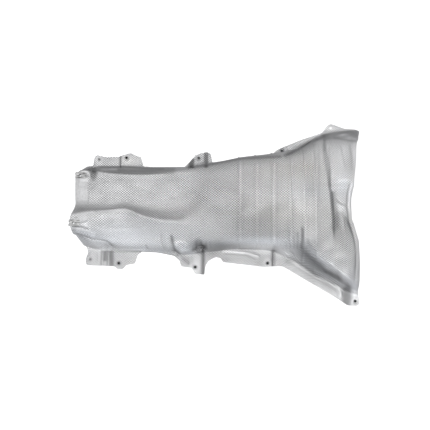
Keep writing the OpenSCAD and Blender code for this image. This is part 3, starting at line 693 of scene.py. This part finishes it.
# Painted highlights along the crests of the crown's ribs, with painted shade beside them, as x and share,
# all between the ys of CREST_ENDS
CRESTS = [(240.4, .2), (257.2, .2), (274.2, .32), (291, .2), (305, .2), (316.6, .15)]
CREST_W, CREST_ASIDE, SIDE_W, CREST_SIDE_SHADE, CREST_ENDS, CREST_FADE = 3.4, 3.0, 3.6, .3, (158, 246), 8
# a band of painted highlight along the crown: x, y, width, height, and its share
PAINTED_HIGHLIGHT_BAND, PAINTED_HIGHLIGHT_SHARE = (262, 193, 74, 5), .05
# darker along a band, by its share
DARKER_BAND, DARKER_BAND_SHARE = (181, 7, 95, 190, 8), .03  # y, width, from x, to x, fade
# Painted bluish and warm reflection tints as x, y, width, height, strength, and turn if any
PAINTED_BLUE_REFLECTIONS = [
    (120, 232, 50, 14, .8), (344, 188, 12, 12, .8), (262, 241, 30, 5, .6), (312, 192, 18, 8, .5),
    (318, 262, 22, 10, .6, 38), (190, 250, 10, 8, .5), (352, 284, 8, 16, .6),
]
PAINTED_WARM_REFLECTIONS = [
    (278, 215, 40, 13, .7), (285, 168, 30, 10, .55), (308, 165, 10, 14, .4), (128, 161, 12, 5, .5),
]
TONE_MIN, TONE_MAX, TONE_SCALE = .05, 1.6, 2.0  # tones are stored divided by the scale


def pattern_across(plan, grid, bend, s):
    """Distance across the sheet, evened out along it so that the diamonds stay square: by place as far
    as the lower shoulder, and row by row from there."""
    step = np.linalg.norm(np.diff(grid[..., 1:], axis=1), axis=-1)
    girth = np.concatenate([np.zeros((len(s), 1)), -np.cumsum(step, axis=1)], 1)
    at = np.arange(-WIDTH / 2, WIDTH / 2 + 1, EVEN_STEP)
    extra = []
    for y, g in zip(plan[..., 1], girth):
        order = np.argsort(y)
        g = g - np.interp(0, y[order], g[order])
        extra.append(np.interp(at, y[order], (g - y)[order]))
    weight = np.exp(-((s[:, None] - s[None]) / EVEN) ** 2)
    weight /= weight.sum(1, keepdims=True)
    even = weight @ np.array(extra)
    out = plan[..., 1] + np.array([np.interp(y, at, e) for y, e in zip(plan[..., 1], even)])
    k = int(np.argmin(np.abs(bend[0] - SHOULDER)))
    out[:, k:] = out[:, k:k + 1] + weight @ (girth[:, k:] - girth[:, k:k + 1])
    return out


def spots(at, places):
    """Sum of soft spots, kept from 0 to 1."""
    return np.clip(sum(more * blob(at, x, y, rx, ry, *turn) for x, y, rx, ry, more, *turn in places), 0, 1)


def emboss_and_painted_light_at(at, tone, bend, steepness):
    """How the emboss and painted light vary: depth of the emboss, tone with painted highlights and shade,
    and shares of painted bluish and warm reflection tints.
    """
    x, y = at[..., 0], at[..., 1]
    band_x, band_y = SMOOTH_BAND
    emboss = 1 - ramp((band_x - x) / 1.5) * ramp((band_y - y) / 2)
    for bx, by, rx, ry, more in EMBOSS_SPOTS:
        emboss = emboss * (1 + more * blob(at, bx, by, rx, ry))
    left, start, over = STEEP
    emboss = emboss * (left + (1 - left) * ramp((steepness - start) / over))
    lost, past, from_x, over = BARE_FOOT
    emboss = emboss * (1 - lost * ramp(4 * (bend - past)) * ramp((x - from_x) / over))
    crest = np.zeros(x.shape)
    # painted highlight on each crest and painted shade on both sides of it
    for c, share in CRESTS:
        beside = swell(x - c - CREST_ASIDE, SIDE_W) + swell(x - c + CREST_ASIDE, SIDE_W)
        crest += share * (swell(x - c, CREST_W) - CREST_SIDE_SHADE * beside)
    crest *= ramp((y - CREST_ENDS[0]) / CREST_FADE) * ramp((CREST_ENDS[1] - y) / CREST_FADE)
    line_y, line_w, line_from, line_to, fade = DARKER_BAND
    band_darkening = swell(y - line_y, line_w) * ramp((x - line_from) / fade) * ramp((line_to - x) / fade)
    tone = tone * (1 + crest + PAINTED_HIGHLIGHT_SHARE * blob(at, *PAINTED_HIGHLIGHT_BAND) - DARKER_BAND_SHARE * band_darkening)
    tone = np.clip(tone, TONE_MIN, TONE_MAX) / TONE_SCALE
    return np.stack([emboss, tone, spots(at, PAINTED_BLUE_REFLECTIONS), spots(at, PAINTED_WARM_REFLECTIONS)], -1)


def closed(faces, count):
    """The faces of the closed sheet from its upper ones, and the edges of its rim. The underside's
    points follow the count upper ones."""
    rim = {}
    for face in faces:
        for a, b in zip(face, face[1:] + face[:1]):
            if not rim.pop((b, a), False):
                rim[a, b] = True
    under = [tuple(v + count for v in face[::-1]) for face in faces]
    return faces + under + [(b, a, a + count, b + count) for a, b in rim], list(rim)


def dress_mesh(mesh, uv, emboss_and_painted_light, rim):
    """Gives a mesh its pattern, its emboss depth with painted highlights, shade and reflection tints,
    and a sharp rim.
    """
    corner = np.zeros(len(mesh.loops), np.int32)
    mesh.loops.foreach_get("vertex_index", corner)
    layer = mesh.uv_layers.new(name="sheet")
    layer.uv.foreach_set("vector", uv[corner].astype(np.float32).ravel())
    colour = mesh.attributes.new("emboss_and_painted_light", "FLOAT_COLOR", "POINT")
    colour.data.foreach_set("color", emboss_and_painted_light.astype(np.float32).ravel())
    ends = np.zeros(len(mesh.edges) * 2, np.int32)
    mesh.edges.foreach_get("vertices", ends)
    sharp = np.array([frozenset(pair) in rim for pair in ends.reshape(-1, 2).tolist()])
    mesh.attributes.new("sharp_edge", "BOOLEAN", "EDGE").data.foreach_set("value", sharp)
    mesh.polygons.foreach_set("use_smooth", np.ones(len(mesh.polygons), bool))
    mesh.update()
    mesh.validate()


def add_object(name, data):
    ob = bpy.data.objects.new(name, data)
    bpy.context.scene.collection.objects.link(ob)
    return ob


def make_sheet():
    grid, plan, bend, s = base_grid()
    at = seen(grid)
    lift, tone = detail(at)
    grid = grid + normals_of(grid) * lift[..., None]
    grid[..., 2] = np.maximum(grid[..., 2], THICK)  # no groove sinks below what the flanges rest on
    normal = normals_of(grid)
    uv = np.stack([grid[..., 0], pattern_across(plan, grid, bend, s)], -1) / 1000
    emboss_and_painted_light = emboss_and_painted_light_at(at, tone, bend, normal[..., 2])
    (top, under, uv, emboss_and_painted_light), whole, tri = trimmed(plan, [grid, grid - normal * THICK, uv, emboss_and_painted_light])
    count = len(top)
    faces, rim = closed([tuple(face) for face in whole.tolist() + tri.tolist()], count)
    used = sorted({v for face in faces for v in face})
    number = {v: k for k, v in enumerate(used)}
    verts = (np.concatenate([top, under]) - MID)[used] / 1000
    mesh = bpy.data.meshes.new("shield_sheet")
    mesh.from_pydata(verts.tolist(), [], [[number[v] for v in face] for face in faces])
    rim = {frozenset((number[a + k], number[b + k])) for a, b in rim for k in (0, count)}
    dress_mesh(mesh, np.concatenate([uv, uv])[used], np.concatenate([emboss_and_painted_light, emboss_and_painted_light])[used], rim)
    return add_object("shield_sheet", mesh)


class Graph:
    """Short calls for building a node tree. A kind of node is named without its ShaderNode."""

    def __init__(self, tree):
        self.tree = tree
        tree.nodes.clear()

    def node(self, kind, values=None, **settings):
        n = self.tree.nodes.new("ShaderNode" + kind)
        for k, v in settings.items():
            setattr(n, k, v)
        for k, v in (values or {}).items():
            if isinstance(v, bpy.types.NodeSocket):
                self.tree.links.new(v, n.inputs[k])
            else:
                n.inputs[k].default_value = v
        return n

    def out(self, kind, values=None, **settings):
        """The first output of a new node."""
        return self.node(kind, values, **settings).outputs[0]

    def math(self, op, a, b=0.0):
        return self.out("Math", {0: a, 1: b}, operation=op)

    def times(self, a, b):
        return self.math("MULTIPLY", a, b)

    def plus(self, a, b):
        return self.math("ADD", a, b)

    def bell(self, a, b):
        """1 where both numbers are 0, falling off all round."""
        return self.math("EXPONENT", self.times(self.plus(self.times(a, a), self.times(b, b)), -1.0))

    def scaled(self, value, middle, width):
        return self.math("DIVIDE", self.math("SUBTRACT", value, middle), width)

    def noise(self, vector, scale, detail=3.0, rough=.5):
        values = {"Vector": vector, "Scale": scale, "Detail": detail, "Roughness": rough}
        return self.node("TexNoise", values).outputs["Fac"]

    def spread(self, value, lo, hi, a, b, **settings):
        """The value's stretch from lo to hi, laid on a to b."""
        values = {"Value": value, "From Min": lo, "From Max": hi, "To Min": a, "To Max": b}
        return self.out("MapRange", values, **settings)

    def grey(self, value):
        return self.out("CombineColor", {0: value, 1: value, 2: value})

    def mix(self, share, a, b, how="MIX"):
        values = {0: share, 6: a, 7: b}
        return self.node("Mix", values, data_type="RGBA", blend_type=how).outputs[2]

    def tint(self, a, b):
        """One colour multiplied by another."""
        return self.mix(1.0, a, b, "MULTIPLY")

    def bump(self, height, strength, distance, **normal):
        values = {"Height": height, "Strength": strength, "Distance": distance, **normal}
        return self.out("Bump", values)

    def diffuse(self, colour):
        return self.out("BsdfDiffuse", {"Color": colour})

    def light(self, kind, colour, strength):
        return self.out(kind, {"Color": colour, "Strength": strength})

    def end(self, shader, kind="OutputMaterial"):
        self.node(kind, {0: shader})

    def metal(self, colour, roughness, normal, metallic):
        values = {"Base Color": colour, "Roughness": roughness, "Normal": normal, "Metallic": metallic}
        return self.out("BsdfPrincipled", values)


def new_material(name):
    mat = bpy.data.materials.new(name)
    mat.use_nodes = True
    return mat, Graph(mat.node_tree)


# The sheet's material. Lengths are in metres, and noise is given by its scale.
DIAMOND, DIAMOND_LEAN, DIAMOND_DEPTH = .00476, math.radians(48), .00028
UNEVEN, CRUMPLE, CLOUD, GRIT, WORN, GLOSS = 22.0, 60.0, 9.0, 260.0, 30.0, 40.0
CRUMPLE_DEPTH, CRUMPLE_SHARE = .0016, .35
ALLOY_DULL, ALLOY_CLEAN = (.47, .47, .472, 1), (.57, .57, .572, 1)
# white, and the tints of the painted bluish and warm reflections
PLAIN, BLUE_REFLECTION_TINT, WARM_REFLECTION_TINT = (1, 1, 1, 1), (.97, .988, 1.02, 1), (1.015, 1.0, .965, 1)


def sheet_material():
    """Aluminium pressed with diamonds: the crests are worn brighter than the hollows. Painted highlights,
    shade and bluish and warm reflection tints come from the sheet's attribute.
    """
    mat, g = new_material("embossed_aluminium")
    uv = g.out("UVMap", uv_map="sheet")
    place = g.node("SeparateXYZ", {0: uv}).outputs
    emboss_and_painted_light = g.node("Attribute", attribute_name="emboss_and_painted_light").outputs
    emboss, bright, blue_reflection = g.node("SeparateColor", {0: emboss_and_painted_light["Color"]}).outputs
    # two crossing waves press the diamonds
    a = g.times(place[0], 2 * math.pi * math.cos(DIAMOND_LEAN) / DIAMOND)
    b = g.times(place[1], 2 * math.pi * math.sin(DIAMOND_LEAN) / DIAMOND)
    wave = g.plus(g.math("COSINE", g.plus(a, b)), g.math("COSINE", g.math("SUBTRACT", a, b)))
    pressed = g.times(wave, emboss)
    height = g.times(pressed, g.spread(g.noise(uv, UNEVEN), .3, .7, .45, 1.25))
    normal = g.bump(height, 1.0, DIAMOND_DEPTH)
    normal = g.bump(g.noise(uv, CRUMPLE, 4.0, .6), CRUMPLE_SHARE, CRUMPLE_DEPTH, Normal=normal)
    tone = g.mix(g.noise(uv, CLOUD, 4.0), ALLOY_DULL, ALLOY_CLEAN)
    tone = g.tint(tone, g.grey(g.spread(g.noise(uv, GRIT, 2.0, .7), .3, .7, .85, 1.15)))
    worn = g.times(pressed, g.spread(g.noise(uv, WORN, 2.0), .35, .65, .14, .37))
    tone = g.tint(tone, g.grey(g.plus(1.0, worn)))
    # painted bluish and warm reflection tints
    tone = g.tint(tone, g.mix(blue_reflection, PLAIN, BLUE_REFLECTION_TINT))
    tone = g.tint(tone, g.mix(emboss_and_painted_light["Alpha"], PLAIN, WARM_REFLECTION_TINT))
    # painted highlights and shade from the folds, dents, rings and crests
    tone = g.tint(tone, g.grey(g.times(bright, TONE_SCALE)))
    g.end(g.metal(tone, g.spread(g.noise(uv, GLOSS, 4.0), .3, .7, .38, .5), normal, .9))
    return mat


# The spring nuts' material: dull zinc with dark streaks along the strip
STREAK_STRETCH, STREAK, ZINC_GLOSS, ZINC_GRAIN, ZINC_DEPTH = (.25, 1.5, 1.0), 240.0, 400.0, 900.0, .0003
ZINC_DARK, ZINC_LIGHT = (.12, .12, .12, 1), (.66, .66, .65, 1)


def steel_material():
    mat, g = new_material("zinc_spring_steel")
    at = g.node("TexCoord").outputs["Object"]
    stretched = g.out("Mapping", {"Vector": at, "Scale": STREAK_STRETCH})
    tone = g.mix(g.spread(g.noise(stretched, STREAK), .4, .6, 0.0, 1.0), ZINC_DARK, ZINC_LIGHT)
    rough = g.spread(g.noise(at, ZINC_GLOSS), .3, .7, .28, .5)
    g.end(g.metal(tone, rough, g.bump(g.noise(at, ZINC_GRAIN), .4, ZINC_DEPTH), 1.0))
    return mat


# The stage, in metres
SENSOR = 36
SKY, WINDOW, WHITE = (.98, .985, 1, 1), (.93, .965, 1, 1), (1, 1, 1, 1)
WINDOW_W, WINDOW_Z, WINDOW_H, WINDOW_LIGHT = .5, .12, .4, .85  # directions, as shares of a unit vector
DARKER_SIDE = .45  # how much the sky loses towards the flared end
FLOOR_SIZE, FLOOR_Z, FLOOR_GLOW = 8.0, -.0006, .8
POOL, POOL_LIGHT = (-.12, -.36, .27, .2), .75  # the window's light on the floor: x, y, width, depth
POOL_COLOUR, SHADED_FLOOR, LIT_FLOOR = (.86, .93, 1, 1), (.42, .42, .43, 1), (.5, .5, .5, 1)
WHITE_FROM, WHITE_AT = .6, 1.6  # where the floor turns white in reflections
LAMP_AT, LAMP_AIM, LAMP_SIZE, LAMP_POWER = (.1, -.4, 2.4), (0, 0, .05), 1.8, 22
DISC_R, DISC_SIDES, DISC_Z = 6.0, 20, -.0003  # radius in millimetres
DARK, FAINT, BARE_HOLE = .015, {0: .22, 2: .1, 5: .22}, 4  # discs' tones, faint ones by hole; no disc


def make_camera(scene):
    cam = add_object("camera", bpy.data.cameras.new("camera"))
    ahead = Vector(AHEAD)
    cam.location = Vector(-MID / 1000) - ahead * REACH / 1000
    cam.rotation_euler = ahead.to_track_quat("-Z", "Y").to_euler()
    cam.data.sensor_width = SENSOR
    cam.data.lens = FOCUS / PHOTO * SENSOR
    scene.camera = cam


def make_world(scene):
    """A soft room with a low window in front of the part. The camera sees plain white."""
    world = bpy.data.worlds.new("studio")
    scene.world = world
    world.use_nodes = True
    g = Graph(world.node_tree)
    way = g.node("TexCoord").outputs["Generated"]
    x, y, z = g.node("SeparateXYZ", {0: way}).outputs
    above = g.spread(z, -.05, .6, .08, .92, interpolation_type="SMOOTHSTEP")
    window = g.bell(g.scaled(x, 0.0, WINDOW_W), g.scaled(z, WINDOW_Z, WINDOW_H))
    window = g.times(window, g.spread(y, -.2, -.5, .0, WINDOW_LIGHT))
    side = g.math("SUBTRACT", 1.0, g.spread(x, .15, .85, .0, DARKER_SIDE))
    sky = g.light("Background", SKY, g.times(above, side))
    room = g.out("AddShader", {0: sky, 1: g.light("Background", WINDOW, window)})
    white = g.light("Background", WHITE, 1.0)
    camera_ray = g.node("LightPath").outputs["Is Camera Ray"]
    g.end(g.out("MixShader", {0: camera_ray, 1: room, 2: white}), "OutputWorld")


def floor_material():
    """White where the camera sees it, and for reflections from far off. Near the part, metal shows the
    floor as it is lit, with the part's shadow on it."""
    mat, g = new_material("pale_floor")
    spot = g.node("NewGeometry").outputs["Position"]
    x, y, _ = g.node("SeparateXYZ", {0: spot}).outputs
    pool_x, pool_y, pool_w, pool_d = POOL
    pool = g.bell(g.scaled(x, pool_x, pool_w), g.scaled(y, pool_y, pool_d))
    pooled = g.light("Emission", POOL_COLOUR, g.times(pool, POOL_LIGHT))
    shaded = g.out("AddShader", {0: g.diffuse(SHADED_FLOOR), 1: pooled})
    glow = g.light("Emission", WHITE, FLOOR_GLOW)
    white = g.out("AddShader", {0: g.diffuse(LIT_FLOOR), 1: glow})
    rays = g.node("LightPath").outputs
    away = g.node("VectorMath", {0: spot}, operation="LENGTH").outputs["Value"]
    far = g.times(rays["Is Glossy Ray"], g.spread(away, WHITE_FROM, WHITE_AT, .0, 1.0))
    shown = g.math("MAXIMUM", rays["Is Camera Ray"], far)
    g.end(g.out("MixShader", {0: shown, 1: shaded, 2: white}))
    return mat


def flat_piece(name, outline, z, material):
    """One flat face that belongs to the stage and not to the part."""
    mesh = bpy.data.meshes.new(name)
    mesh.from_pydata([(x, y, 0) for x, y in outline], [], [tuple(range(len(outline)))])
    mesh.materials.append(material)
    ob = add_object(name, mesh)
    ob.location.z = z


def make_lamp():
    light = bpy.data.lights.new("overhead", "AREA")
    light.size, light.energy = LAMP_SIZE, LAMP_POWER
    lamp = add_object("overhead", light)
    lamp.location = LAMP_AT
    lamp.rotation_euler = (Vector(LAMP_AIM) - Vector(LAMP_AT)).to_track_quat("-Z", "Y").to_euler()


def make_hole_shades():
    """Dark discs under the bolt holes, through which the shaded floor shows."""
    for k, (x, y) in enumerate(HOLES):
        if k == BARE_HOLE:
            continue
        mat, g = new_material("hole_shade")
        tone = FAINT.get(k, DARK)
        g.end(g.diffuse((tone, tone, tone, 1)))
        outline = circle(along(x) - MID[0], across(y) - MID[1], DISC_R, DISC_SIDES) / 1000
        flat_piece("hole_shade", outline, DISC_Z, mat)


def make_stage():
    scene = bpy.context.scene
    scene.view_settings.view_transform = "Standard"
    make_camera(scene)
    make_world(scene)
    r = FLOOR_SIZE
    flat_piece("floor", [(-r, -r), (r, -r), (r, r), (-r, r)], FLOOR_Z, floor_material())
    make_lamp()
    make_hole_shades()


sheet = make_sheet()
sheet.data.materials.append(sheet_material())
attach(sheet, "root")
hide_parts("shield")
steel = steel_material()
for name in ("clip_nut_upper", "clip_nut_lower"):
    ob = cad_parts[name]
    ob.data.materials.clear()
    ob.data.materials.append(steel)
make_stage()
